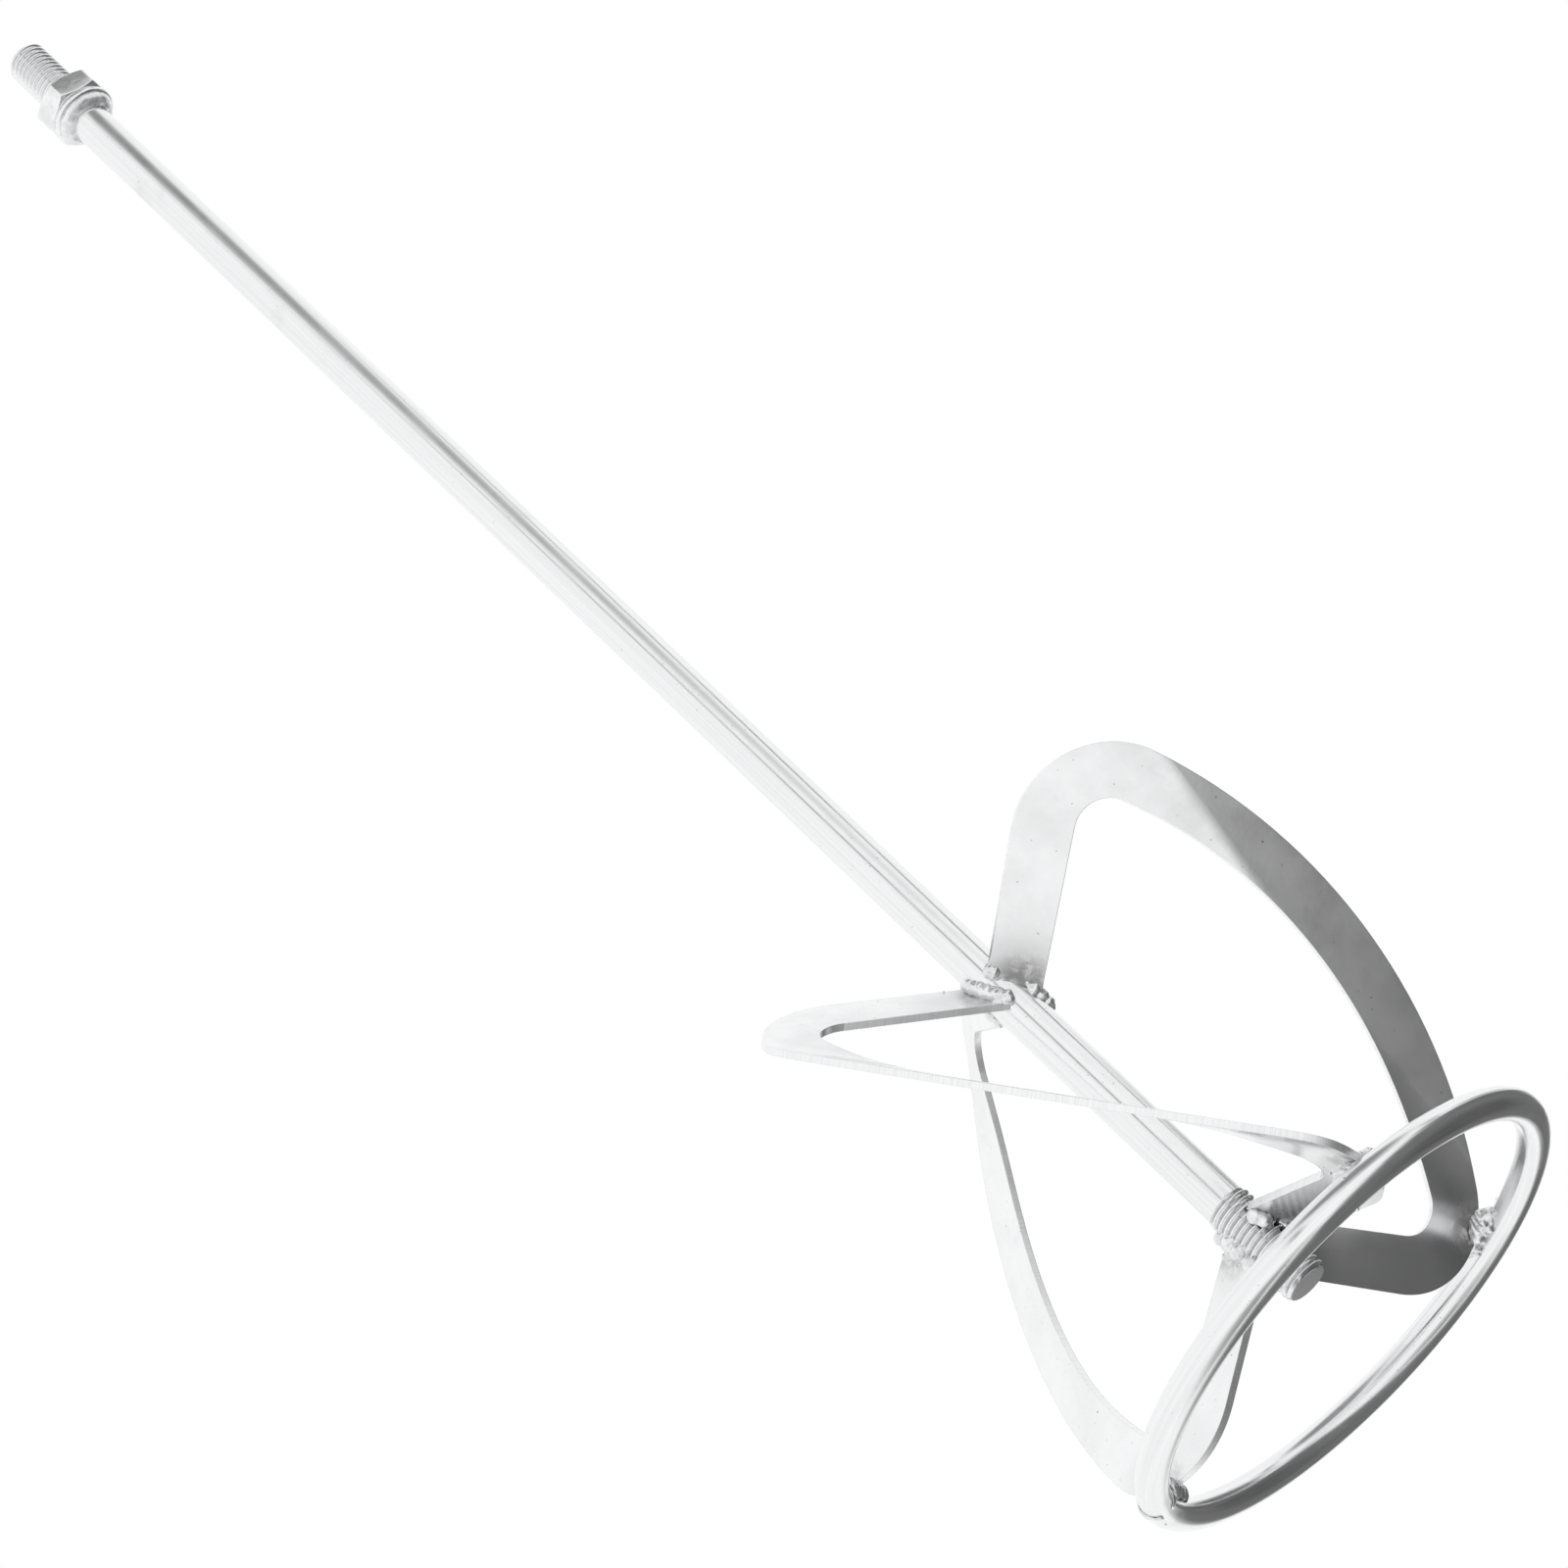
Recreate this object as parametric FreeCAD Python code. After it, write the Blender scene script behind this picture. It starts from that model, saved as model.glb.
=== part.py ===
import FreeCAD, Part
import math
import os

# Mortar mixing paddle: a round shaft with a threaded stud on top, and three D-shaped
# sheet-steel blades round its lower end, tied together at the bottom by a round-bar ring.
# Millimetres, +Z up along the shaft towards the stud. The origin is on the shaft's axis,
# at the height of the ring's underside, which the tool stands on.

# --- shaft and threads ---
shaft_diameter = 12.6
total_height = 607.8
thread_diameter = 13.8
thread_root_diameter = 11.5
thread_pitch = 2.0
thread_crest_width = 0.5
thread_lead_in = 1.0
bottom_thread_length = 31.0
bottom_end_height = 17.5

# --- lock nut, and the welded collar it tightens against ---
nut_across_flats = 21.0
nut_bottom_height = 576.4
nut_height = 8.4
nut_turn = 28.5
nut_clearance = 0.08
nut_chamfer_angle = 30.0
nut_chamfer_land = 0.5
collar_diameter = 22.0
collar_bottom_height = 574.1  # the top thread starts here too
collar_height = 2.0
collar_bead_reach = 3.6
collar_bead_drop = 2.6

# --- ring ---
ring_bar_diameter = 9.0
ring_centre_radius = 70.0
# how the ring was tacked: its centre off the shaft's axis, and a slight tilt
ring_offset_x = 1.6
ring_offset_y = 3.6
ring_tilt = 1.26
ring_tilt_direction = -60.0

# --- blades: flat pattern of the D, measured from the shaft's axis ---
sheet_thickness = 2.0
leg_outer_reach = 84.4
leg_outer_radius = 157.0
leg_inner_reach = 69.1
leg_inner_radius = 144.0
arm_outer_offset = 53.6
arm_outer_slope = 45.8
arm_inner_offset = 32.9
arm_inner_slope = 44.2
outer_corner_radius = 25.0
inner_corner_radius = 9.0

# --- blades: bends and setting on the shaft ---
bend_line_reach = 63.0
bend_angle = 20.5
bend_radius = 30.0
blade_pitch = 31.3
blade_mid_height = 86.1
trim_pivot_reach = 40.5
# how each blade was tacked: turn round the shaft, lift, pitch trim, lean and yaw
blade_settings = [
    {"turn": 16.7, "lift": -1.6, "pitch": 0.7, "lean": 0.7, "yaw": 0.3},
    {"turn": 139.7, "lift": 0.5, "pitch": -3.1, "lean": 0.4, "yaw": -2.3},
    {"turn": -100.7, "lift": 0.5, "pitch": 0.9, "lean": 2.0, "yaw": -2.9},
]

# --- welds ---
# foot welds, by blade: bead size, and the part of the arm's width that it covers, from -1 at
# the arm's inner edge to 1 at its outer edge
upper_foot_welds = [
    {"radius": 2.8, "start": -0.8, "end": 0.8},
    {"radius": 2.3, "start": 0.0, "end": 0.8},
    {"radius": 2.4, "start": -0.4, "end": 0.9},
]
lower_foot_welds = [
    {"radius": 2.4, "start": 0.3, "end": 0.9},
    {"radius": 3.0, "start": -0.8, "end": 0.8},
    {"radius": 2.7, "start": -0.1, "end": 0.5},
]
foot_weld_lumps = 4
smallest_weld_volume = 8.0
ring_weld_radius = 4.0
ring_weld_lumps = 3
closing_weld_radius = 5.1
closing_weld_width = 3.0
closing_weld_turn = -172.0

AXIS = FreeCAD.Vector(0, 0, 1)
ORIGIN = FreeCAD.Vector(0, 0, 0)


def vec(x, y, z):
    return FreeCAD.Vector(x, y, z)


def export(shape, name):
    """Write one node's solids to its STEP file."""
    shape.exportStep("parts/" + name + ".step")


def arc(centre, radius, start, end):
    """Arc in the XZ plane, from one angle to another, in degrees from +X towards +Z."""

    def at(angle):
        turn = math.radians(angle)
        return vec(centre[0] + radius * math.cos(turn), 0, centre[1] + radius * math.sin(turn))

    return Part.Arc(at(start), at((start + end) / 2), at(end)).toShape()


def line(a, b):
    """Straight edge between two (x, z) points in the XZ plane."""
    return Part.makeLine(vec(a[0], 0, a[1]), vec(b[0], 0, b[1]))


def polygon(points):
    """Closed face in the XZ plane from (x, z) corners."""
    corners = [vec(x, 0, z) for x, z in points]
    return Part.Face(Part.makePolygon(corners + [corners[0]]))


def thread_profile(bottom, top, lead_at_bottom, lead_at_top):
    """Half profile of a threaded length: crests with flats, V grooves, chamfered free ends."""
    crest = thread_diameter / 2
    root = thread_root_diameter / 2
    land = thread_crest_width / 2
    points = [(0, bottom)]
    if lead_at_bottom:
        points.append((crest - thread_lead_in, bottom))
        points.append((crest, bottom + thread_lead_in))
    else:
        points.append((crest, bottom))
    first = bottom + thread_lead_in + thread_pitch / 2
    grooves = int((top - bottom - 2 * thread_lead_in) / thread_pitch)
    for number in range(grooves):
        middle = first + number * thread_pitch
        points.append((crest, middle - thread_pitch / 2 + land))
        points.append((root, middle))
        points.append((crest, middle + thread_pitch / 2 - land))
    if lead_at_top:
        points.append((crest, top - thread_lead_in))
        points.append((crest - thread_lead_in, top))
    else:
        points.append((crest, top))
    points.append((0, top))
    return points


def make_shaft():
    """One bar: plain round middle, rolled threads slightly larger than the bar at both ends."""
    bottom_thread_top = bottom_end_height + bottom_thread_length
    low = thread_profile(bottom_end_height, bottom_thread_top, True, False)
    high = thread_profile(collar_bottom_height, total_height, False, True)
    bar = shaft_diameter / 2
    middle = [(bar, bottom_thread_top), (bar, collar_bottom_height)]
    outline = low[:-1] + middle + high[1:]
    return polygon(outline).revolve(ORIGIN, AXIS, 360)


def make_lock_nut():
    """Hexagon nut with its corners turned down to a 30 degree chamfer on both faces."""
    corner = nut_across_flats / 2 / math.cos(math.radians(30))
    angles = [math.radians(60 * side) for side in range(7)]
    hexagon = Part.makePolygon([vec(corner * math.cos(a), corner * math.sin(a), 0) for a in angles])
    prism = Part.Face(hexagon).extrude(vec(0, 0, nut_height))
    land = nut_across_flats / 2 - nut_chamfer_land
    drop = (corner - land) * math.tan(math.radians(nut_chamfer_angle))
    envelope = polygon([
        (0, 0), (land, 0), (corner, drop),
        (corner, nut_height - drop), (land, nut_height), (0, nut_height),
    ]).revolve(ORIGIN, AXIS, 360)
    bore = Part.makeCylinder(thread_diameter / 2 + nut_clearance, nut_height)
    nut = prism.common(envelope).cut(bore)
    nut.rotate(ORIGIN, AXIS, nut_turn)
    nut.translate(vec(0, 0, nut_bottom_height))
    return nut


def make_collar():
    """Thin round collar with a rounded rim."""
    bore = thread_diameter / 2
    half = collar_height / 2
    edge = collar_diameter / 2 - half
    top = collar_bottom_height + collar_height
    section = Part.Wire([
        line((bore, collar_bottom_height), (edge, collar_bottom_height)),
        arc((edge, collar_bottom_height + half), half, -90, 90),
        line((edge, top), (bore, top)),
        line((bore, top), (bore, collar_bottom_height)),
    ])
    return Part.Face(section).revolve(ORIGIN, AXIS, 360)


def make_collar_bead():
    """Weld fillet in the corner between the collar's underside and the shaft."""
    bar = shaft_diameter / 2
    top = collar_bottom_height
    bulge = math.sqrt(0.5)
    inner = vec(bar, 0, top - collar_bead_drop)
    middle = vec(bar + collar_bead_reach * bulge, 0, top - collar_bead_drop * bulge)
    outer = vec(bar + collar_bead_reach, 0, top)
    section = Part.Wire([
        Part.Arc(inner, middle, outer).toShape(),
        line((bar + collar_bead_reach, top), (bar, top)),
        line((bar, top), (bar, top - collar_bead_drop)),
    ])
    return Part.Face(section).revolve(ORIGIN, AXIS, 360)


def ring_placement():
    """Where the ring lies: its lowest point touches the ground at height 0."""
    direction = math.radians(ring_tilt_direction)
    drop = ring_centre_radius * math.sin(math.radians(ring_tilt))
    centre = vec(ring_offset_x, ring_offset_y, ring_bar_diameter / 2 + drop)
    tilt_axis = vec(math.cos(direction), math.sin(direction), 0)
    return FreeCAD.Placement(centre, FreeCAD.Rotation(tilt_axis, ring_tilt))


def make_ring():
    """Round bar bent to a closed circle."""
    ring = Part.makeTorus(ring_centre_radius, ring_bar_diameter / 2)
    ring.Placement = ring_placement()
    return ring


def half_loop(reach, radius, offset, slope, corner):
    """Tangent points of half a D outline: leg arc, rounded corner, straight arm to the shaft."""
    slope = math.radians(slope)
    centre = reach - radius
    along = (math.cos(slope), math.sin(slope))
    inward = (math.sin(slope), -math.cos(slope))
    start = (inward[0] * corner - centre, offset + inward[1] * corner)
    b = start[0] * along[0] + start[1] * along[1]
    c = start[0] ** 2 + start[1] ** 2 - (radius - corner) ** 2
    reach_along = -b + math.sqrt(b * b - c)
    middle = (centre + start[0] + reach_along * along[0], start[1] + reach_along * along[1])
    leg_angle = math.degrees(math.atan2(middle[1], middle[0] - centre))
    arm_angle = math.degrees(math.atan2(-inward[1], -inward[0]))
    on_arm = (middle[0] - inward[0] * corner, middle[1] - inward[1] * corner)
    return {"leg_centre": (centre, 0), "leg_angle": leg_angle, "corner_centre": middle,
            "arm_angle": arm_angle, "arm_start": on_arm, "arm_end": (0, offset)}


def loop_edges(half, radius, corner):
    """Edges of one D outline, from the upper arm's end round the leg to the lower arm's end."""
    end_x, end_z = half["arm_end"]
    start_x, start_z = half["arm_start"]
    corner_x, corner_z = half["corner_centre"]
    leg = half["leg_angle"]
    arm = half["arm_angle"]
    return [
        line((end_x, end_z), (start_x, start_z)),
        arc((corner_x, corner_z), corner, arm, leg),
        arc(half["leg_centre"], radius, leg, -leg),
        arc((corner_x, -corner_z), corner, -leg, -arm),
        line((start_x, -start_z), (end_x, -end_z)),
    ]


def make_pattern_prism():
    """The D's outline carried straight through the sheet, both ways."""
    outer = half_loop(leg_outer_reach, leg_outer_radius, arm_outer_offset, arm_outer_slope,
                      outer_corner_radius)
    inner = half_loop(leg_inner_reach, leg_inner_radius, arm_inner_offset, arm_inner_slope,
                      inner_corner_radius)
    edges = loop_edges(outer, leg_outer_radius, outer_corner_radius)
    edges += loop_edges(inner, leg_inner_radius, inner_corner_radius)
    for side in (1, -1):
        edges.append(line((0, side * arm_outer_offset), (0, side * arm_inner_offset)))
    outline = Part.Wire(Part.__sortEdges__(edges))
    depth = leg_outer_reach
    face = Part.Face(outline)
    face.translate(vec(0, -depth / 2, 0))
    return face.extrude(vec(0, depth, 0))


def make_bent_sheet():
    """Sheet that is flat in the leg, with the upper arm bent one way and the lower arm the other."""
    half = sheet_thickness / 2
    bend = math.radians(bend_angle)
    tangent_length = bend_radius * math.tan(bend / 2)
    centre = vec(bend_line_reach + tangent_length, bend_radius, 0)
    far = leg_outer_reach + sheet_thickness

    def on_bend(radius, angle):
        return centre + vec(-radius * math.sin(angle), -radius * math.cos(angle), 0)

    def at_shaft(radius):
        start = on_bend(radius, bend)
        return start + vec(-math.cos(bend), math.sin(bend), 0) * (start.x / math.cos(bend))

    outside = bend_radius + half
    inside = bend_radius - half
    section = Part.Wire([
        Part.makeLine(vec(far, -half, 0), on_bend(outside, 0)),
        Part.Arc(on_bend(outside, 0), on_bend(outside, bend / 2), on_bend(outside, bend)).toShape(),
        Part.makeLine(on_bend(outside, bend), at_shaft(outside)),
        Part.makeLine(at_shaft(outside), at_shaft(inside)),
        Part.makeLine(at_shaft(inside), on_bend(inside, bend)),
        Part.Arc(on_bend(inside, bend), on_bend(inside, bend / 2), on_bend(inside, 0)).toShape(),
        Part.makeLine(on_bend(inside, 0), vec(far, half, 0)),
        Part.makeLine(vec(far, half, 0), vec(far, -half, 0)),
    ])
    upper = Part.Face(section).extrude(vec(0, 0, 2 * leg_outer_reach))
    lower = upper.copy()
    lower.rotate(ORIGIN, vec(1, 0, 0), 180)
    return upper.fuse(lower).removeSplitter()


def set_on_shaft(shape, setting):
    """Move something from the blade's own frame to its place on the shaft."""
    placed = shape.copy()
    placed.rotate(ORIGIN, vec(1, 0, 0), blade_pitch + setting["pitch"])
    placed.rotate(ORIGIN, vec(0, 1, 0), setting["lean"])
    placed.rotate(vec(trim_pivot_reach, 0, 0), AXIS, setting["yaw"])
    placed.rotate(ORIGIN, AXIS, setting["turn"])
    placed.translate(vec(0, 0, blade_mid_height + setting["lift"]))
    return placed


def make_blade(flat_blade, setting, ring, core):
    """One blade in place, its feet fitted round the shaft and its lower corner seated on the ring."""
    fitted = set_on_shaft(flat_blade, setting).cut(core).cut(ring)
    return max(fitted.Solids, key=lambda solid: solid.Volume)


def lumps(points, radius):
    """A bead of weld metal: spheres run together along a line of points."""
    balls = [Part.makeSphere(radius, point) for point in points]
    bead = balls[0]
    for ball in balls[1:]:
        bead = bead.fuse(ball)
    return bead.removeSplitter()


def spread(start, end, count):
    """Evenly spaced points from start to end."""
    return [start + (end - start) * (step / (count - 1)) for step in range(count)]


def foot_line(setting, side, weld):
    """Ends of one weld where an arm meets the shaft: side 1 is the upper arm, -1 the lower."""
    height = (arm_outer_offset + arm_inner_offset) / 2
    half_width = (arm_outer_offset - arm_inner_offset) / 2
    lift_off = bend_line_reach * math.tan(math.radians(bend_angle))
    ends = []
    for share in (weld["start"], weld["end"]):
        end = vec(0, side * lift_off, side * (height + share * half_width))
        ends.append(set_on_shaft(Part.Vertex(end), setting).Point)
    return ends


def make_foot_weld(setting, side, weld, placed, radius):
    """Fillet bead on both faces of an arm where it meets a bar of this radius."""
    start, end = foot_line(setting, side, weld)
    points = []
    for point in spread(start, end, foot_weld_lumps):
        outward = vec(point.x, point.y, 0)
        if outward.Length < radius:
            turn = math.radians(setting["turn"])
            outward = outward + vec(math.cos(turn), math.sin(turn), 0) * radius
        outward.normalize()
        points.append(vec(outward.x * radius, outward.y * radius, point.z))
    bead = lumps(points, weld["radius"])
    for piece in placed:
        bead = bead.cut(piece)
    return Part.makeCompound([solid for solid in bead.Solids if solid.Volume > smallest_weld_volume])


def make_ring_weld(blade, ring):
    """Bead along the blade's seat on the ring."""
    placement = ring_placement()
    seat = placement.inverse().multVec(blade.distToShape(ring)[1][0][1])
    turn = math.atan2(seat.y, seat.x)
    rise = ring_bar_diameter / 2 * math.sqrt(0.5)
    reach = ring_centre_radius - rise
    step = ring_weld_radius / reach
    points = []
    for number in range(ring_weld_lumps):
        angle = turn + (number - (ring_weld_lumps - 1) / 2) * step
        points.append(placement.multVec(vec(reach * math.cos(angle), reach * math.sin(angle), rise)))
    return lumps(points, ring_weld_radius).cut(ring).cut(blade)


def make_closing_weld(ring):
    """Low collar of weld metal round the joint where the ring's two ends meet."""
    bar = ring_bar_diameter / 2
    collar = Part.makeSphere(closing_weld_radius, vec(ring_centre_radius, 0, 0))
    slab = Part.makeBox(4 * bar, closing_weld_width, 2 * bar,
                        vec(ring_centre_radius - 2 * bar, -closing_weld_width / 2, -bar))
    weld = collar.common(slab)
    weld.rotate(ORIGIN, AXIS, closing_weld_turn)
    weld.Placement = ring_placement().multiply(weld.Placement)
    return weld.cut(ring)


def main():
    os.makedirs("parts", exist_ok=True)
    export(make_shaft(), "shaft")
    export(make_lock_nut(), "lock_nut")
    export(make_collar(), "stop_collar")
    export(make_collar_bead(), "collar_weld_bead")

    ring = make_ring()
    export(ring, "bottom_ring")
    export(make_closing_weld(ring), "ring_closing_weld")

    thread_top = bottom_end_height + bottom_thread_length
    thread_core = Part.makeCylinder(thread_diameter / 2, thread_top)
    bar_core = Part.makeCylinder(shaft_diameter / 2, total_height)
    core = bar_core.fuse(thread_core)
    flat_blade = make_bent_sheet().common(make_pattern_prism())
    blades = [make_blade(flat_blade, setting, ring, core) for setting in blade_settings]
    placed = [core] + blades
    welds = zip(blade_settings, blades, upper_foot_welds, lower_foot_welds)
    for number, (setting, blade, upper_weld, lower_weld) in enumerate(welds, start=1):
        export(blade, "blade_%d" % number)
        upper = make_foot_weld(setting, 1, upper_weld, placed, shaft_diameter / 2)
        lower = make_foot_weld(setting, -1, lower_weld, placed, thread_diameter / 2)
        export(upper, "upper_blade_weld_%d" % number)
        export(lower, "lower_blade_weld_%d" % number)
        placed += upper.Solids + lower.Solids
        export(make_ring_weld(blade, ring), "ring_weld_%d" % number)


main()
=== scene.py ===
import bmesh
import bpy
import math
import random
from mathutils import Matrix, Vector, noise
from mathutils.bvhtree import BVHTree


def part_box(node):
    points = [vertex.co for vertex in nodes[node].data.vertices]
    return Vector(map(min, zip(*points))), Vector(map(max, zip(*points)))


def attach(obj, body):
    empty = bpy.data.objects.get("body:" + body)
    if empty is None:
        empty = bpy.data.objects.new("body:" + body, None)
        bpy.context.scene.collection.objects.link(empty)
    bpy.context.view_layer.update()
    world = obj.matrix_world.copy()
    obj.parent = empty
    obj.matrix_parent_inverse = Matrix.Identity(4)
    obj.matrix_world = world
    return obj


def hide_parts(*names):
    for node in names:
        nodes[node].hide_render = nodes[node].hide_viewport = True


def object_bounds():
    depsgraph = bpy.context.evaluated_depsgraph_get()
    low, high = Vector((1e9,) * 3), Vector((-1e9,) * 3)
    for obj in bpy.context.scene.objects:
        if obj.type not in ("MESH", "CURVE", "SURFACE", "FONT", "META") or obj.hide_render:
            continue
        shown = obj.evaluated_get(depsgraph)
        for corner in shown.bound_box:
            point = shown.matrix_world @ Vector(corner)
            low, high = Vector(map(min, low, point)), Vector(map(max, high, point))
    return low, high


# Looks of the mortar mixing paddle: bright zinc-plated steel on a white background.
# Metres, in the CAD model's own frame.

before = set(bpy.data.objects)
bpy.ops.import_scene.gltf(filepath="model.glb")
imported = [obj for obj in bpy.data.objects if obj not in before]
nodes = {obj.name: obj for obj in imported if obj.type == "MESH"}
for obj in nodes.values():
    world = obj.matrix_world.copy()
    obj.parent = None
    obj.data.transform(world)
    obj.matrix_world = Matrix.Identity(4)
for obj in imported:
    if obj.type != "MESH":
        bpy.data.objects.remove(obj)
cad_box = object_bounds()
MM = 0.001

# ---------------------------------------------------------------- helpers


def new_object(name, vertices, faces, smooth=True):
    """Make a mesh object and put it in the scene."""
    mesh = bpy.data.meshes.new(name)
    mesh.from_pydata([tuple(v) for v in vertices], [], faces)
    mesh.update()
    if smooth:
        mesh.polygons.foreach_set("use_smooth", [True] * len(mesh.polygons))
    piece = bpy.data.objects.new(name, mesh)
    bpy.context.scene.collection.objects.link(piece)
    return piece


def apply_modifiers(piece):
    """Bake the modifiers into the mesh."""
    graph = bpy.context.evaluated_depsgraph_get()
    baked = bpy.data.meshes.new_from_object(piece.evaluated_get(graph))
    piece.modifiers.clear()
    piece.data = baked


def middle(node):
    """Centre of a CAD node's box."""
    low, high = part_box(node)
    return (low + high) / 2


def smoothstep(value):
    """0 to 1, with a soft start and end."""
    value = min(1.0, max(0.0, value))
    return value * value * (3 - 2 * value)


def joined_profiles(around, rows):
    """Faces between equal closed profiles of the given number of points, which stand in a circle."""
    faces = []
    for step in range(around):
        a = step * rows
        b = ((step + 1) % around) * rows
        for row in range(rows):
            following = (row + 1) % rows
            faces.append((a + row, b + row, b + following, a + following))
    return faces


# ---------------------------------------------------------------- node-material helpers


class Tree:
    """A short way to write the shader nodes of a material or a world."""

    def __init__(self, owner, output="ShaderNodeOutputMaterial"):
        owner.use_nodes = True
        self.tree = owner.node_tree
        self.tree.nodes.clear()
        self.out = self.add(output)

    def add(self, kind, **settings):
        node = self.tree.nodes.new(kind)
        for key, value in settings.items():
            setattr(node, key, value)
        return node

    def link(self, source, target):
        self.tree.links.new(source, target)

    def feed(self, socket, value):
        if isinstance(value, bpy.types.NodeSocket):
            self.link(value, socket)
        else:
            socket.default_value = value

    def math(self, operation, a, b=0.0, clamp=False):
        node = self.add("ShaderNodeMath", operation=operation, use_clamp=clamp)
        self.feed(node.inputs[0], a)
        self.feed(node.inputs[1], b)
        return node.outputs[0]

    def vector(self, operation, a, b=(0, 0, 0)):
        node = self.add("ShaderNodeVectorMath", operation=operation)
        self.feed(node.inputs[0], a)
        self.feed(node.inputs[1], b)
        single = operation in ("DOT_PRODUCT", "LENGTH", "DISTANCE")
        return node.outputs["Value"] if single else node.outputs[0]

    def ramp(self, value, low, high, to_low=0.0, to_high=1.0):
        node = self.add("ShaderNodeMapRange", interpolation_type="SMOOTHSTEP", clamp=True)
        self.feed(node.inputs["Value"], value)
        node.inputs["From Min"].default_value = low
        node.inputs["From Max"].default_value = high
        node.inputs["To Min"].default_value = to_low
        node.inputs["To Max"].default_value = to_high
        return node.outputs["Result"]

    def noise(self, where, scale, detail=2.0, rough=0.5, distortion=0.0):
        node = self.add("ShaderNodeTexNoise")
        self.feed(node.inputs["Vector"], where)
        node.inputs["Scale"].default_value = scale
        node.inputs["Detail"].default_value = detail
        node.inputs["Roughness"].default_value = rough
        node.inputs["Distortion"].default_value = distortion
        return node.outputs["Fac"]

    def mix(self, factor, a, b):
        node = self.add("ShaderNodeMix", data_type="RGBA")
        self.feed(node.inputs["Factor"], factor)
        self.feed(node.inputs["A"], a)
        self.feed(node.inputs["B"], b)
        return node.outputs["Result"]

    def tint(self, colour, mask, strength, other):
        """Mix another colour in where the mask is, up to the given strength."""
        return self.mix(self.math("MULTIPLY", mask, strength), colour, other)

    def position(self):
        return self.add("ShaderNodeTexCoord").outputs["Object"]

    def stretched(self, where, along):
        return self.vector("MULTIPLY", where, along)

    def bump(self, height, strength, distance, below=None):
        """Bump of the given distance in metres, on top of another bump's normal."""
        node = self.add("ShaderNodeBump")
        node.inputs["Strength"].default_value = strength
        node.inputs["Distance"].default_value = distance
        self.feed(node.inputs["Height"], height)
        if below is not None:
            self.link(below, node.inputs["Normal"])
        return node.outputs["Normal"]

    def metal(self, colour, rough, normal):
        shader = self.add("ShaderNodeBsdfPrincipled")
        shader.inputs["Metallic"].default_value = 1.0
        self.feed(shader.inputs["Base Color"], colour)
        self.feed(shader.inputs["Roughness"], rough)
        self.link(normal, shader.inputs["Normal"])
        self.link(shader.outputs[0], self.out.inputs["Surface"])


def grey(value):
    """A grey that is very slightly cool."""
    return (value, value * 1.004, value * 1.012, 1.0)


# ---------------------------------------------------------------- materials

weld_nodes = sorted(name for name in nodes if "weld" in name and name != "collar_weld_bead")
burn_points = [middle(name) for name in weld_nodes if name != "ring_closing_weld"]

# how far from a weld's middle the sheet is greyed by painted shade, and how far it is burnt, and the
# burn's colour
painted_shade_reach = 0.022
burn_reach = 0.012
burnt = (0.17, 0.165, 0.16, 1.0)

# radius to which the sheet's edges look rounded
edge_rounding = 0.00028

# noise cells per metre: across and along the drawn bars, and per radian along the ring
across_bar = 900.0
along_bar = 7.0
along_ring_turn = 1.4

# distances from the axis between which the painted shade in the thread's grooves fades out
painted_groove_shade_radii = (0.00578, 0.00626)


def near_welds(tree, where, reach):
    """1 at a weld, falling to 0 at the given reach."""
    nearest = None
    for point in burn_points:
        distance = tree.vector("DISTANCE", where, tuple(point))
        nearest = distance if nearest is None else tree.math("MINIMUM", nearest, distance)
    return tree.ramp(nearest, reach * 0.35, reach, 1.0, 0.0)


def bar_material(name, streaks, where_of, painted_groove_shade=None):
    """Zinc over drawn round bar: fine lines along the bar, small pits and faint stains.

    streaks is how strongly the lines stand out. The last argument, if given, is two radii between
    which painted shade in the thread's grooves fades out.
    """
    material = bpy.data.materials.new(name)
    tree = Tree(material)
    where = tree.position()
    lines = tree.noise(where_of(tree, where), 1.0, detail=4.0, rough=0.6)
    cloud = tree.noise(where, 90.0, detail=3.0, rough=0.55)
    pits = tree.ramp(tree.noise(where, 1200.0, detail=1.0), 0.75, 0.80)
    stain = tree.ramp(tree.noise(where, 34.0, detail=4.0, rough=0.6), 0.58, 0.74)

    colour = tree.mix(tree.ramp(lines, 0.35, 0.65), grey(0.85), grey(0.91))
    colour = tree.tint(colour, stain, 0.35, grey(0.66))
    colour = tree.tint(colour, pits, 0.6, grey(0.3))
    # painted shade: the thread's grooves darkened towards near black, strongest inside the first
    # radius
    if painted_groove_shade:
        from_axis = tree.vector("LENGTH", tree.vector("MULTIPLY", where, (1, 1, 0)))
        colour = tree.mix(tree.ramp(from_axis, *painted_groove_shade, 0.45, 0.0), colour, grey(0.16))

    lined_rough = tree.ramp(lines, 0.3, 0.7, 0.12, 0.18)
    rough = tree.math("ADD", lined_rough, tree.ramp(cloud, 0.35, 0.7, 0.0, 0.08))
    lined = tree.bump(lines, streaks, 0.00012)
    pitted = tree.bump(tree.math("SUBTRACT", cloud, pits), 0.22, 0.00015, lined)
    tree.metal(colour, rough, pitted)
    return material


def along_shaft(tree, where):
    """Noise coordinates that are long along the shaft and short across it."""
    return tree.stretched(where, (across_bar, across_bar, along_bar))


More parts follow.
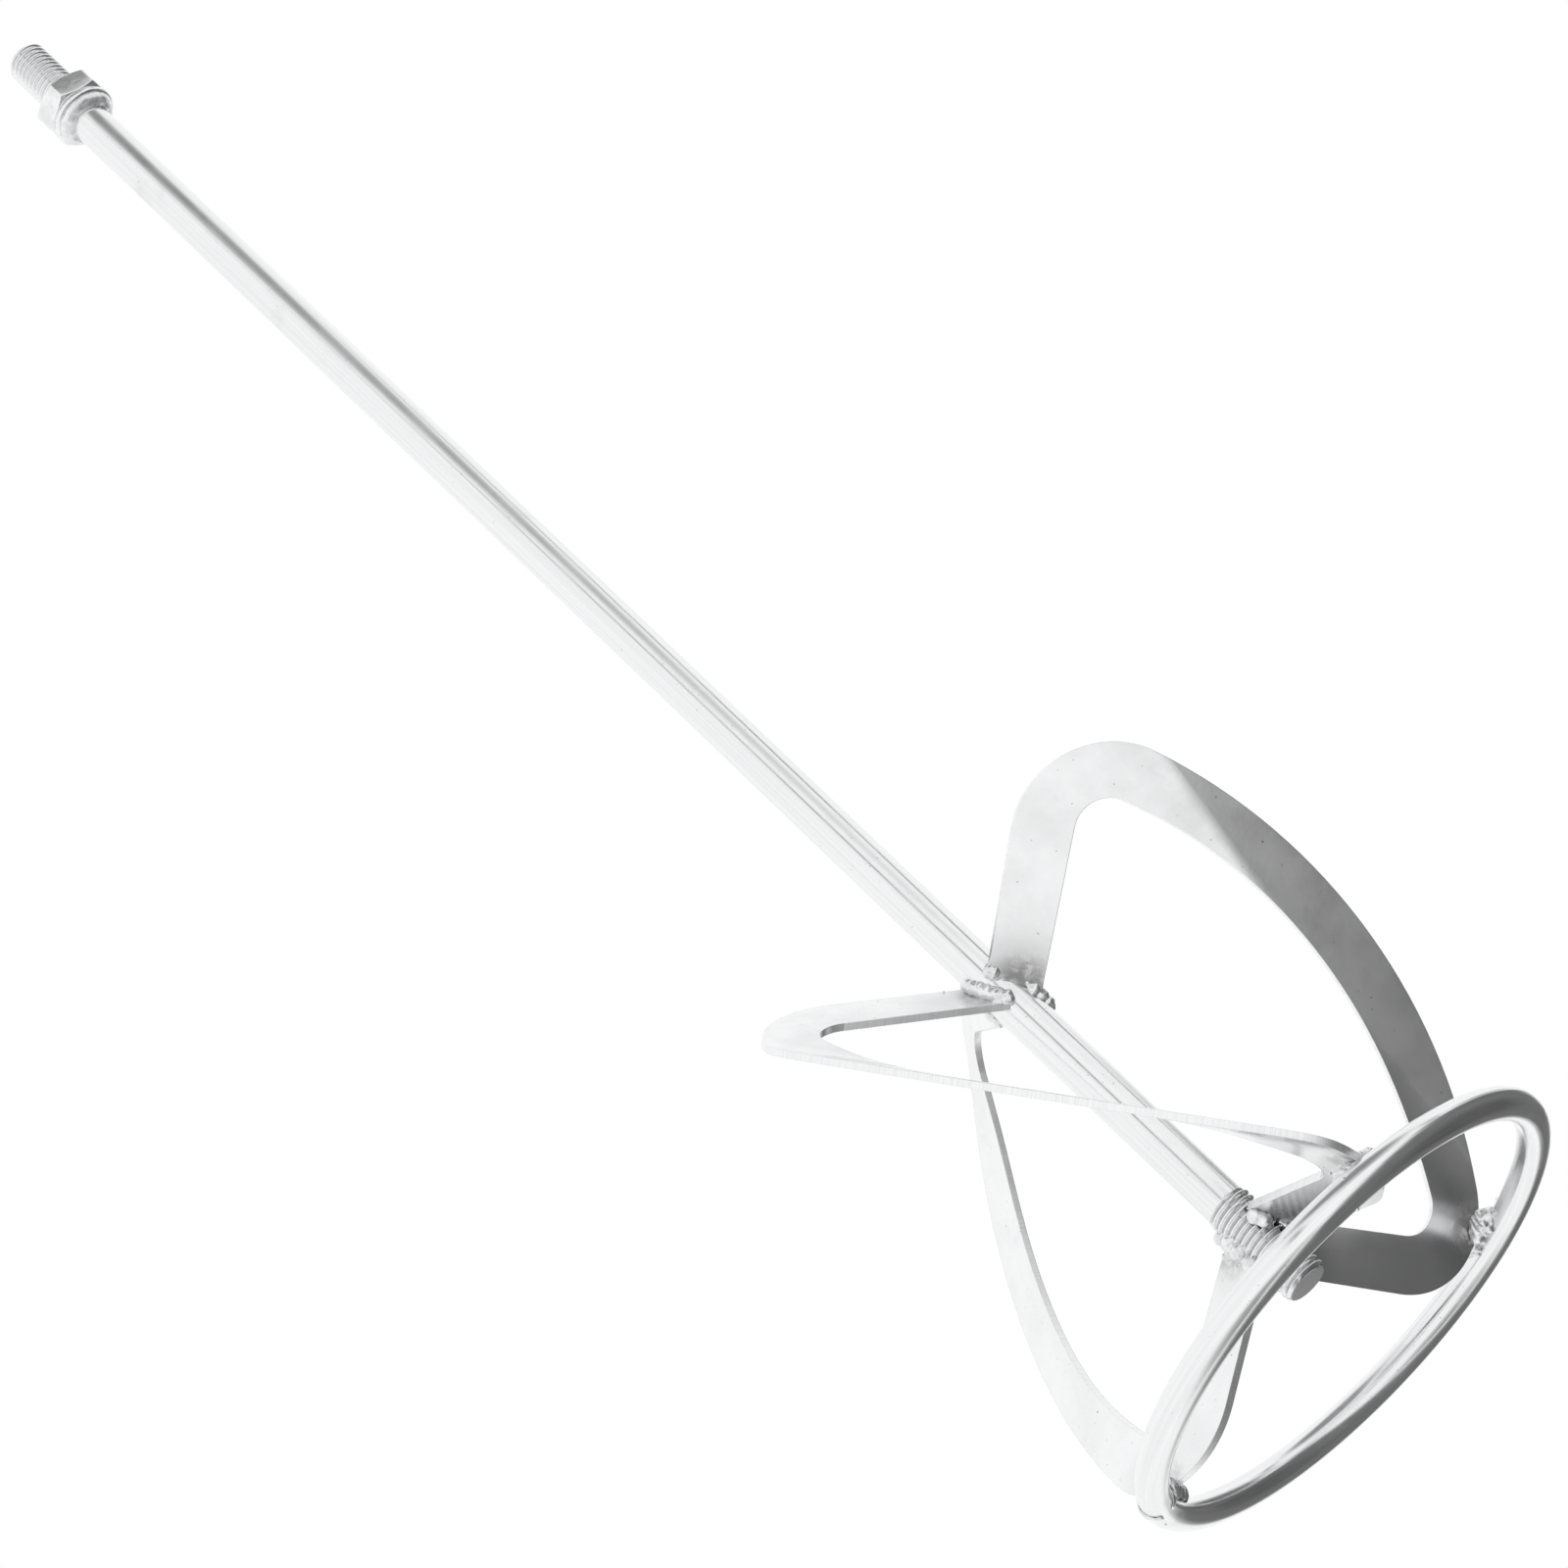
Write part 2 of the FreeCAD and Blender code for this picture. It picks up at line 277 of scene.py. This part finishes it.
def along_ring(tree, where):
    """Noise coordinates that are long along the ring's bar and short across it."""
    split = tree.add("ShaderNodeSeparateXYZ")
    tree.link(tree.vector("SUBTRACT", where, tuple(middle("bottom_ring"))), split.inputs[0])
    x, y, z = split.outputs
    squares = tree.math("ADD", tree.math("MULTIPLY", x, x), tree.math("MULTIPLY", y, y))
    reach = tree.math("SQRT", squares)
    turn = tree.math("ARCTAN2", y, x)
    join = tree.add("ShaderNodeCombineXYZ")
    tree.link(tree.math("MULTIPLY", turn, along_ring_turn), join.inputs[0])
    tree.link(tree.math("MULTIPLY", reach, across_bar), join.inputs[1])
    tree.link(tree.math("MULTIPLY", z, across_bar), join.inputs[2])
    return join.outputs[0]


def sheet_normal(node):
    """Normal of the blade's flat leg: the direction of its largest area of faces."""
    mesh = nodes[node].data
    totals = {}
    for face in mesh.polygons:
        upward = face.normal if face.normal.z > 0 else -face.normal
        key = tuple(round(c, 1) for c in upward)
        area, total = totals.get(key, (0.0, Vector((0, 0, 0))))
        totals[key] = (area + face.area, total + upward * face.area)
    return max(totals.values(), key=lambda entry: entry[0])[1].normalized()


def sheet_material(name, node, painted_shade_and_burn):
    """Zinc over laser-cut sheet: smooth faces with stains and scratches, cut edges with fine ribs, and
    painted shade round the welds.

    The last argument sets how strongly painted shade greys the sheet round the welds, and it also
    makes the burn there stronger.
    """
    material = bpy.data.materials.new(name)
    tree = Tree(material)
    where = tree.position()
    across = tuple(sheet_normal(node))
    height = tree.vector("DOT_PRODUCT", where, across)
    scaled = tree.add("ShaderNodeVectorMath", operation="SCALE")
    scaled.inputs[0].default_value = across
    tree.link(height, scaled.inputs["Scale"])
    in_plane = tree.vector("SUBTRACT", where, scaled.outputs[0])
    outward = tree.add("ShaderNodeTexCoord").outputs["Normal"]
    facing = tree.math("ABSOLUTE", tree.vector("DOT_PRODUCT", outward, across))
    edge = tree.ramp(facing, 0.45, 0.6, 1.0, 0.0)

    cloud = tree.noise(where, 55.0, detail=4.0, rough=0.6)
    grain = tree.noise(where, 700.0, detail=2.0, rough=0.5)
    drift = tree.stretched(where, (260.0, 60.0, 120.0))
    wisps = tree.noise(drift, 1.0, detail=3.0, rough=0.7, distortion=0.8)
    scored = tree.noise(tree.stretched(where, (1400.0, 90.0, 500.0)), 1.0, detail=1.0)
    scratches = tree.ramp(scored, 0.69, 0.74)
    specks = tree.ramp(tree.noise(where, 900.0, detail=1.0), 0.76, 0.80)
    # painted shade: a grey that grows towards each weld's middle
    shade = near_welds(tree, where, painted_shade_reach)
    patches = tree.ramp(tree.noise(where, 300.0, detail=4.0, rough=0.65), 0.35, 0.60, 0.25, 1.0)
    burn = tree.math("MULTIPLY", near_welds(tree, where, burn_reach), patches)
    ribs = tree.noise(in_plane, 4800.0, detail=1.0, rough=0.7)

    face_colour = tree.mix(tree.ramp(cloud, 0.35, 0.7), grey(0.92), grey(0.86))
    face_colour = tree.tint(face_colour, tree.ramp(wisps, 0.6, 0.8), 0.12, grey(0.7))
    face_colour = tree.tint(face_colour, scratches, 0.4, grey(0.97))
    face_colour = tree.tint(face_colour, specks, 0.7, grey(0.25))
    # painted shade round the welds, strong on blade_1 and faint on the other blades
    face_colour = tree.tint(face_colour, shade, painted_shade_and_burn, grey(0.42))
    face_colour = tree.tint(face_colour, burn, 0.35 + 0.7 * painted_shade_and_burn, burnt)
    edge_colour = tree.mix(tree.ramp(ribs, 0.35, 0.62), grey(0.84), grey(0.94))
    colour = tree.mix(edge, face_colour, edge_colour)

    clouded_rough = tree.ramp(cloud, 0.3, 0.7, 0.16, 0.25)
    face_rough = tree.math("ADD", clouded_rough, tree.math("MULTIPLY", burn, 0.3))
    rough = tree.math("ADD", face_rough, tree.math("MULTIPLY", edge, 0.1), clamp=True)
    soft = tree.add("ShaderNodeBevel", samples=6)
    soft.inputs["Radius"].default_value = edge_rounding
    ribbed = tree.bump(tree.math("MULTIPLY", ribs, edge), 0.07, 0.00006, soft.outputs[0])
    uneven = tree.math("ADD", tree.math("MULTIPLY", grain, 0.25), cloud)
    tree.metal(colour, rough, tree.bump(uneven, 0.12, 0.0002, ribbed))
    return material


def weld_material():
    """Plated weld metal: bright ripples with dark pores, and painted shade in the hollows."""
    material = bpy.data.materials.new("plated_weld")
    tree = Tree(material)
    where = tree.position()
    lumps = tree.noise(where, 330.0, detail=4.0, rough=0.65)
    pores = tree.ramp(tree.noise(where, 900.0, detail=2.0), 0.66, 0.76)
    pointiness = tree.add("ShaderNodeNewGeometry").outputs["Pointiness"]
    # painted shade: concave spots, found by pointiness, darkened towards near black
    painted_hollow_shade = tree.ramp(pointiness, 0.40, 0.50, 1.0, 0.0)
    colour = tree.mix(tree.ramp(lumps, 0.3, 0.7), grey(0.72), grey(0.94))
    colour = tree.tint(colour, painted_hollow_shade, 0.8, grey(0.12))
    colour = tree.tint(colour, pores, 0.5, grey(0.15))
    tree.metal(colour, tree.ramp(lumps, 0.3, 0.7, 0.18, 0.36), tree.bump(lumps, 0.5, 0.0004))
    return material


def nut_material(name, smooth, dull):
    """Plated forged metal: smooth facets with faint tool marks, between two roughnesses."""
    material = bpy.data.materials.new(name)
    tree = Tree(material)
    where = tree.position()
    cloud = tree.noise(where, 240.0, detail=3.0, rough=0.55)
    marks = tree.noise(tree.stretched(where, (300.0, 300.0, 1600.0)), 1.0, detail=3.0, rough=0.6)
    dirt = tree.ramp(tree.noise(where, 480.0, detail=2.0), 0.66, 0.74)
    colour = tree.mix(tree.ramp(cloud, 0.35, 0.65), grey(0.80), grey(0.92))
    colour = tree.tint(colour, dirt, 0.5, grey(0.3))
    marked = tree.bump(marks, 0.18, 0.00015)
    rough = tree.ramp(marks, 0.3, 0.7, smooth, dull)
    tree.metal(colour, rough, tree.bump(cloud, 0.2, 0.0002, marked))
    return material


zinc_bar = bar_material("zinc_shaft", 0.05, along_shaft, painted_groove_shade_radii)
zinc_ring = bar_material("zinc_ring", 0.35, along_ring)
zinc_nut = nut_material("plated_nut", 0.16, 0.30)
dull_zinc = nut_material("dull_plated_bead", 0.40, 0.52)
plated_weld = weld_material()


def dress(piece, material, body, slot, *replaced):
    """Give a piece its material and its body, and hide the CAD nodes that it stands for. The slot
    argument is not used.
    """
    piece.data.materials.clear()
    piece.data.materials.append(material)
    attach(piece, body)
    if replaced:
        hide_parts(*replaced)


def recoat(node, material):
    """Give a CAD node a finished material and leave its shape alone."""
    piece = nodes[node]
    piece.data.materials.clear()
    piece.data.materials.append(material)


# ---------------------------------------------------------------- shaft with true helical threads

shaft_low, shaft_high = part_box("shaft")
collar_low, collar_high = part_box("stop_collar")
bar_radius = 6.3 * MM
crest_radius = (shaft_high.x - shaft_low.x) / 2
root_radius = 5.75 * MM
pitch = 2.0 * MM
crest_flatness = 1.12  # over 1, so that the crests are flat
end_chamfer = 1.1 * MM
runout_length = 1.2 * MM
bottom_thread = (shaft_low.z, shaft_low.z + 31.0 * MM)
top_thread = (collar_low.z, shaft_high.z)


def thread_radius(turn, height):
    """Rounded V thread, right-handed."""
    phase = (height / pitch - turn / (2 * math.pi)) % 1.0
    rise = 1 - abs(2 * phase - 1)
    return root_radius + (crest_radius - root_radius) * smoothstep(rise * crest_flatness)


def shaft_radius(turn, height):
    """Threads that run out into the plain bar, and chamfered ends."""
    for low, high in (bottom_thread, top_thread):
        if low <= height <= high:
            to_end = min(height - shaft_low.z, shaft_high.z - height)
            chamfer = crest_radius - end_chamfer + to_end
            inner_end = high if low == bottom_thread[0] else low
            runout = smoothstep(abs(inner_end - height) / runout_length)
            wall = bar_radius + (thread_radius(turn, height) - bar_radius) * runout
            return min(wall, chamfer)
    return bar_radius


def make_shaft():
    """Rings of points up the shaft, close together along the threads, with a flat end each way."""
    around = 96
    rows_per_pitch = 18
    plain_rows = 60
    heights = []
    for low, high in (bottom_thread, top_thread):
        count = round((high - low) / (pitch / rows_per_pitch))
        heights += [low + (high - low) * step / count for step in range(count + 1)]
    gap_low, gap_high = bottom_thread[1], top_thread[0]
    heights += [gap_low + (gap_high - gap_low) * step / plain_rows for step in range(1, plain_rows)]
    heights.sort()
    vertices = []
    faces = []
    for height in heights:
        for step in range(around):
            turn = 2 * math.pi * step / around
            radius = shaft_radius(turn, height)
            vertices.append((radius * math.cos(turn), radius * math.sin(turn), height))
    for row in range(len(heights) - 1):
        for step in range(around):
            a = row * around + step
            b = row * around + (step + 1) % around
            faces.append((a, b, b + around, a + around))
    centre = len(vertices)
    vertices += [(0, 0, shaft_low.z), (0, 0, shaft_high.z)]
    last = (len(heights) - 1) * around
    for step in range(around):
        following = (step + 1) % around
        faces.append((centre, following, step))
        faces.append((centre + 1, last + step, last + following))
    shaft = new_object("shaft_threaded_bar", vertices, faces)
    for polygon in shaft.data.polygons[-2 * around:]:
        polygon.use_smooth = False
    dress(shaft, zinc_bar, "paddle", "zinc_bar", "shaft")


make_shaft()

# ---------------------------------------------------------------- lock nut and collar

crease_angle = math.radians(38)  # edges sharper than this stay crisp


def make_lock_nut():
    """Hexagon nut with turned chamfers and slightly rounded edges."""
    low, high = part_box("lock_nut")
    height = high.z - low.z
    half_side = math.pi / 6  # half the angle that one flat takes
    flat = 10.5 * MM
    corner = flat / math.cos(half_side) - 0.12 * MM
    land = 9.95 * MM
    bore = 7.0 * MM
    lip = 0.5 * MM
    chamfer_slope = math.tan(math.radians(30))
    nut_turn = math.radians(28.5)
    around = 144
    vertices = []
    for step in range(around):
        angle = 2 * math.pi * step / around
        off_flat = (angle + half_side) % (2 * half_side) - half_side
        reach = min(flat / math.cos(off_flat), corner)
        drop = (reach - land) * chamfer_slope
        profile = [
            (bore, lip), (bore + lip, 0), (land, 0), (reach, drop),
            (reach, height - drop), (land, height), (bore + lip, height), (bore, height - lip),
        ]
        turn = angle + nut_turn + half_side
        for radius, rise in profile:
            vertices.append((radius * math.cos(turn), radius * math.sin(turn), low.z + rise))
    nut = new_object("lock_nut_hex", vertices, joined_profiles(around, len(profile)))
    bevel = nut.modifiers.new("edges", "BEVEL")
    bevel.width = 0.22 * MM
    bevel.segments = 3
    bevel.limit_method = "ANGLE"
    bevel.angle_limit = math.radians(24)
    apply_modifiers(nut)
    nut.data.polygons.foreach_set("use_smooth", [True] * len(nut.data.polygons))
    nut.data.set_sharp_from_angle(angle=crease_angle)
    dress(nut, zinc_nut, "lock_nut", "zinc_nut", "lock_nut")


def make_collar():
    """Thin round collar with a rounded rim, slightly uneven."""
    low, high = collar_low, collar_high
    half = (high.z - low.z) / 2
    rim = 10.9 * MM
    bore = 6.95 * MM
    unevenness = 0.10 * MM
    around = 160
    arc_steps = 8
    vertices = []
    for step in range(around):
        turn = 2 * math.pi * step / around
        spot = Vector((math.cos(turn) * 2.1, math.sin(turn) * 2.1, 4.0))
        uneven = unevenness * noise.noise(spot)
        profile = [(bore, low.z)]
        for part in range(arc_steps + 1):
            angle = math.pi * (part / arc_steps - 0.5)
            radius = rim - half + half * math.cos(angle) + uneven
            profile.append((radius, low.z + half + half * math.sin(angle)))
        profile.append((bore, high.z))
        for radius, height in profile:
            vertices.append((radius * math.cos(turn), radius * math.sin(turn), height))
    collar = new_object("stop_collar_ring", vertices, joined_profiles(around, len(profile)))
    collar.data.set_sharp_from_angle(angle=crease_angle)
    dress(collar, zinc_nut, "paddle", "zinc_nut", "stop_collar")


make_lock_nut()
make_collar()

# ---------------------------------------------------------------- weld beads


# how each kind of bead is skinned. In mm: the voxels' size, how much the bead grows, how far its
# lumps swing in and out, and how high its ripples are. soften_steps smooth the voxels away.
closing_skin = {"voxel": 0.35, "swell": 0.02, "swing": 0.2, "ripple": 0.0, "soften_steps": 2}
ring_skin = {"voxel": 0.4, "swell": 0.1, "swing": 0.45, "ripple": 0.24, "soften_steps": 3}
foot_skin = {"voxel": 0.3, "swell": 0.2, "swing": 0.3, "ripple": 0.08, "soften_steps": 26}
collar_skin = {"voxel": 0.35, "swell": 0.08, "swing": 0.22, "ripple": 0.03, "soften_steps": 3}
toe_skin = {"voxel": 0.25, "swell": 0.2, "swing": 0.3, "soften_steps": 16}

# noise cells per mm of a bead's lumps and of its finer grain, and radians per mm of its ripples
lump_scale = 0.42
grain_scale = 1.35
ripple_scale = 4.2
above_floor = 0.02 * MM


def weld_skin(bead, seed, voxel, swell, swing, ripple, soften_steps):
    """Remesh a rough bead, and give it the lumps and ripples of real weld metal."""
    remesh = bead.modifiers.new("skin", "REMESH")
    remesh.mode = "VOXEL"
    remesh.voxel_size = voxel * MM
    remesh.use_smooth_shade = True
    soften = bead.modifiers.new("soften", "SMOOTH")
    soften.factor = 0.5
    soften.iterations = soften_steps
    apply_modifiers(bead)
    vertices = bead.data.vertices
    centre = sum((vertex.co for vertex in vertices), Vector()) / len(vertices)
    shift = Vector((seed * 3.1, seed * 1.7, seed * 2.3))
    moved = []
    for vertex in vertices:
        spot = vertex.co / MM
        lump = noise.noise(spot * lump_scale + shift)
        small = noise.noise(spot * grain_scale + shift * 2)
        wave = math.sin((vertex.co - centre).length / MM * ripple_scale)
        push = swell * MM + (swing * lump + 0.25 * swing * small + ripple * wave) * MM
        moved.append(vertex.co + vertex.normal * push)
    for vertex, spot in zip(vertices, moved):
        spot.z = max(spot.z, cad_box[0][2] + above_floor)
        vertex.co = spot
    bead.data.update()


def make_weld(name, node, seed, skin, material=plated_weld):
    """The CAD bead's solid with a skin of real weld metal."""
    bead = bpy.data.objects.new(name, nodes[node].data.copy())
    bpy.context.scene.collection.objects.link(bead)
    weld_skin(bead, seed, **skin)
    dress(bead, material, "paddle", "weld_metal", node)


def make_toe(name, seed, from_axis, ripple, lumps):
    """Weld metal run out over a foot, as lumps round the shaft.

    from_axis, each lump's height and radius, and ripple are in mm, and its azimuth in degrees.
    """
    shape = bmesh.new()
    for azimuth, height, radius in lumps:
        turn = math.radians(azimuth)
        centre = Vector((from_axis * math.cos(turn), from_axis * math.sin(turn), height)) * MM
        place = Matrix.Translation(centre)
        bmesh.ops.create_icosphere(shape, subdivisions=3, radius=radius * MM, matrix=place)
    mesh = bpy.data.meshes.new(name)
    shape.to_mesh(mesh)
    shape.free()
    bead = bpy.data.objects.new(name, mesh)
    bpy.context.scene.collection.objects.link(bead)
    weld_skin(bead, seed, ripple=ripple, **toe_skin)
    dress(bead, plated_weld, "paddle", "weld_metal")


for count, node in enumerate(weld_nodes):
    if node == "ring_closing_weld":
        skin = closing_skin
    elif node.startswith("ring_weld"):
        skin = ring_skin
    else:
        skin = foot_skin
    make_weld(node + "_bead", node, count + 1, skin)
make_weld("collar_bead_skin", "collar_weld_bead", 23, collar_skin, dull_zinc)

make_toe("upper_weld_1_toe", seed=31, from_axis=6.7, ripple=0.04, lumps=[
    (15, 125.8, 1.7), (3, 128.2, 1.9), (-9, 130.5, 2.2), (-17, 133.0, 1.9),
    (-24, 135.2, 1.6), (-45, 137.8, 1.5), (-66, 139.9, 1.6),
])
make_toe("upper_weld_3_toe", seed=37, from_axis=6.6, ripple=0.03, lumps=[
    (-101, 134.2, 2.3), (-112, 132.6, 2.1), (-118, 138.0, 2.3), (-122, 133.9, 1.6),
    (-126, 139.9, 2.2), (-133, 141.8, 2.2), (-142, 144.0, 2.0),
])
make_toe("lower_weld_2_toe", seed=41, from_axis=6.6, ripple=0.03, lumps=[
    (-178, 43.0, 2.3), (-166, 40.0, 2.5), (-160, 36.0, 2.7), (-166, 32.0, 2.5),
    (172, 39.0, 2.6), (176, 34.0, 2.6), (178, 30.5, 2.4),
])

# ---------------------------------------------------------------- weld spatter


def steel_near_welds():
    """The blades' and the ring's faces, for finding the nearest point on them."""
    vertices = []
    faces = []
    for name in ("blade_1", "blade_2", "blade_3", "bottom_ring"):
        start = len(vertices)
        mesh = nodes[name].data
        vertices += [v.co.copy() for v in mesh.vertices]
        faces += [[start + index for index in face.vertices] for face in mesh.polygons]
    return BVHTree.FromPolygons(vertices, faces)


def add_ball(vertices, faces, centre, size):
    """A small ball of rings of points, closed by a point at its top and its bottom."""
    rings = 6
    sides = 10
    base = len(vertices)
    for ring in range(1, rings):
        slope = math.pi * ring / rings
        for side in range(sides):
            turn = 2 * math.pi * side / sides
            level = math.sin(slope)
            outward = Vector((level * math.cos(turn), level * math.sin(turn), math.cos(slope)))
            vertices.append(centre + outward * size)
    top = len(vertices)
    vertices.append(centre + Vector((0, 0, size)))
    vertices.append(centre - Vector((0, 0, size)))
    for ring in range(rings - 2):
        for side in range(sides):
            a = base + ring * sides + side
            b = base + ring * sides + (side + 1) % sides
            faces.append((a, a + sides, b + sides, b))
    last = base + (rings - 2) * sides
    for side in range(sides):
        following = (side + 1) % sides
        faces.append((top, base + side, base + following))
        faces.append((top + 1, last + following, last + side))


def make_spatter():
    """Small beads of metal thrown on to the surfaces near the welds."""
    balls_per_weld = 4
    nearest, farthest = 7, 15  # from a weld's middle, in mm
    smallest, largest = 0.2, 0.6  # radius in mm
    surface = steel_near_welds()
    chance = random.Random(7)
    vertices = []
    faces = []
    for point in burn_points:
        for _ in range(balls_per_weld):
            offset = Vector([chance.uniform(-1, 1) for _ in range(3)]).normalized()
            aim = point + offset * chance.uniform(nearest, farthest) * MM
            spot, normal, _, _ = surface.find_nearest(aim)
            size = chance.uniform(smallest, largest) * MM
            add_ball(vertices, faces, spot + normal * size * 0.25, size)
    spatter = new_object("weld_spatter", vertices, faces)
    dress(spatter, plated_weld, "paddle", "weld_metal")


make_spatter()

# ---------------------------------------------------------------- CAD pieces that keep their shape

recoat("bottom_ring", zinc_ring)
# the number sets the painted shade round the welds and also strengthens the burn; blade_1 gets far
# more painted shade than the other blades
for blade, painted_shade_and_burn in (("blade_1", 0.5), ("blade_2", 0.08), ("blade_3", 0.08)):
    recoat(blade, sheet_material("zinc_" + blade, blade, painted_shade_and_burn))

# ---------------------------------------------------------------- floor, light and camera


def make_floor():
    """Pale floor under the ring. It is one-sided, so a camera below it sees the paddle's underside."""
    half = 6.0
    below_ring = 0.0004
    corners = [(-half, -half, 0), (half, -half, 0), (half, half, 0), (-half, half, 0)]
    floor = new_object("floor", corners, [(0, 1, 2, 3)], smooth=False)
    floor.location.z = -below_ring
    material = bpy.data.materials.new("pale_floor")
    tree = Tree(material)
    pale = tree.add("ShaderNodeBsdfDiffuse")
    pale.inputs["Color"].default_value = (0.9, 0.9, 0.9, 1.0)
    clear = tree.add("ShaderNodeBsdfTransparent")
    choose = tree.add("ShaderNodeMixShader")
    tree.link(tree.add("ShaderNodeNewGeometry").outputs["Backfacing"], choose.inputs[0])
    tree.link(pale.outputs[0], choose.inputs[1])
    tree.link(clear.outputs[0], choose.inputs[2])
    tree.link(choose.outputs[0], tree.out.inputs["Surface"])
    floor.data.materials.append(material)
    floor.visible_glossy = False
    floor.visible_diffuse = False
    floor.visible_shadow = False


make_floor()


def heading(azimuth, elevation):
    """Unit direction: azimuth in degrees from +X towards +Y, elevation up from level."""
    a = math.radians(azimuth)
    e = math.radians(elevation)
    return Vector((math.cos(e) * math.cos(a), math.cos(e) * math.sin(a), math.sin(e)))


# dark parts of the studio: direction, angle from it of the full dark, angle from it where the dark
# ends, brightness
studio_darks = [
    (heading(-40, 52), 12, 31, 0.28),
    (heading(-90, -80), 15, 48, 0.35),
]
# upright dark strips of the studio: azimuth, half width of the full dark, half width where it ends,
# brightness
studio_strips = [
    (-82, 1.0, 5.5, 0.25),
    (-1, 1.5, 6.5, 0.22),
]


def make_world():
    """White studio with dark parts, which show in the metal. The camera itself sees plain white."""
    world = bpy.data.worlds.new("studio")
    bpy.context.scene.world = world
    tree = Tree(world, "ShaderNodeOutputWorld")
    where = tree.add("ShaderNodeTexCoord").outputs["Generated"]
    level = 1.0
    for direction, full, end, dark in studio_darks:
        along = tree.vector("DOT_PRODUCT", where, tuple(direction))
        edge, inner = math.cos(math.radians(end)), math.cos(math.radians(full))
        level = tree.math("MULTIPLY", tree.ramp(along, edge, inner, 1.0, dark), level)
    rise = tree.vector("DOT_PRODUCT", where, (0, 0, 1))
    raised = tree.math("MULTIPLY", tree.ramp(rise, 0.05, 0.15), tree.ramp(rise, 0.42, 0.66, 1.0, 0.0))
    for azimuth, full, end, dark in studio_strips:
        sideways = tree.vector("DOT_PRODUCT", where, tuple(heading(azimuth + 90, 0)))
        inner, edge = math.sin(math.radians(full)), math.sin(math.radians(end))
        part = tree.ramp(tree.math("ABSOLUTE", sideways), inner, edge, 1.0, 0.0)
        ahead = tree.ramp(tree.vector("DOT_PRODUCT", where, tuple(heading(azimuth, 0))), 0.45, 0.65)
        part = tree.math("MULTIPLY", part, tree.math("MULTIPLY", ahead, raised))
        kept = tree.math("SUBTRACT", 1.0, tree.math("MULTIPLY", part, 1.0 - dark))
        level = tree.math("MULTIPLY", kept, level)
    seen = tree.add("ShaderNodeLightPath").outputs["Is Camera Ray"]
    glow = tree.add("ShaderNodeBackground")
    glow.inputs["Color"].default_value = (1.0, 1.0, 1.0, 1.0)
    tree.link(tree.math("MAXIMUM", level, seen), glow.inputs["Strength"])
    tree.link(glow.outputs[0], tree.out.inputs["Surface"])


make_world()


def make_dark_card(name, centre, facing):
    """A round card that metal reflects: dark in the middle and as bright as the studio at its rim."""
    outer = 0.98
    sides = 64
    vertices = [(0, 0, 0)]
    for side in range(sides):
        turn = 2 * math.pi * side / sides
        vertices.append((outer * math.cos(turn), outer * math.sin(turn), 0))
    faces = [(0, 1 + side, 1 + (side + 1) % sides) for side in range(sides)]
    card = new_object(name, vertices, faces, smooth=False)
    turned = facing.to_track_quat("Z", "Y").to_matrix().to_4x4()
    card.matrix_world = Matrix.Translation(centre) @ turned
    material = bpy.data.materials.new(name)
    tree = Tree(material)
    reach = tree.vector("LENGTH", tree.position())
    glow = tree.add("ShaderNodeEmission")
    glow.inputs["Color"].default_value = (1.0, 1.0, 1.0, 1.0)
    # brightness by distance from the middle in metres: darkest within 0.10, dark up to 0.56, and
    # then rising to 1 at the rim, which is the studio's own brightness
    inside = tree.ramp(reach, 0.10, 0.30, 0.09, 0.15)
    outside = tree.ramp(reach, 0.56, outer, 0.0, 0.85)
    tree.link(tree.math("ADD", inside, outside), glow.inputs["Strength"])
    tree.link(glow.outputs[0], tree.out.inputs["Surface"])
    card.data.materials.append(material)
    card.visible_camera = False
    card.visible_diffuse = False
    card.visible_shadow = False


blades_centre = Vector((0, 0, 0.08))
to_card = Vector((0.690, 0.330, -0.644))
card_distance = 0.45
make_dark_card("dark_card", blades_centre + to_card * card_distance, -to_card)

# camera: below the ring's plane, rolled, aimed at a point on the shaft's axis
camera_distance = 1.25711
camera_elevation = -27.1346
camera_aim = Vector((0, 0, 0.22962))
camera_roll = 46.339
camera_lens = 102.18


def make_camera():
    """Camera at the angle that the tool is shown from."""
    camera = bpy.data.objects.new("camera", bpy.data.cameras.new("camera"))
    bpy.context.scene.collection.objects.link(camera)
    camera.data.lens = camera_lens
    camera.data.sensor_width = 36.0
    camera.location = camera_aim + heading(-90, camera_elevation) * camera_distance
    look = (camera_aim - camera.location).to_track_quat("-Z", "Y")
    roll = Matrix.Rotation(math.radians(-camera_roll), 4, "Z").to_quaternion()
    camera.rotation_mode = "QUATERNION"
    camera.rotation_quaternion = look @ roll
    bpy.context.scene.camera = camera


make_camera()
bpy.context.scene.view_settings.view_transform = "Standard"
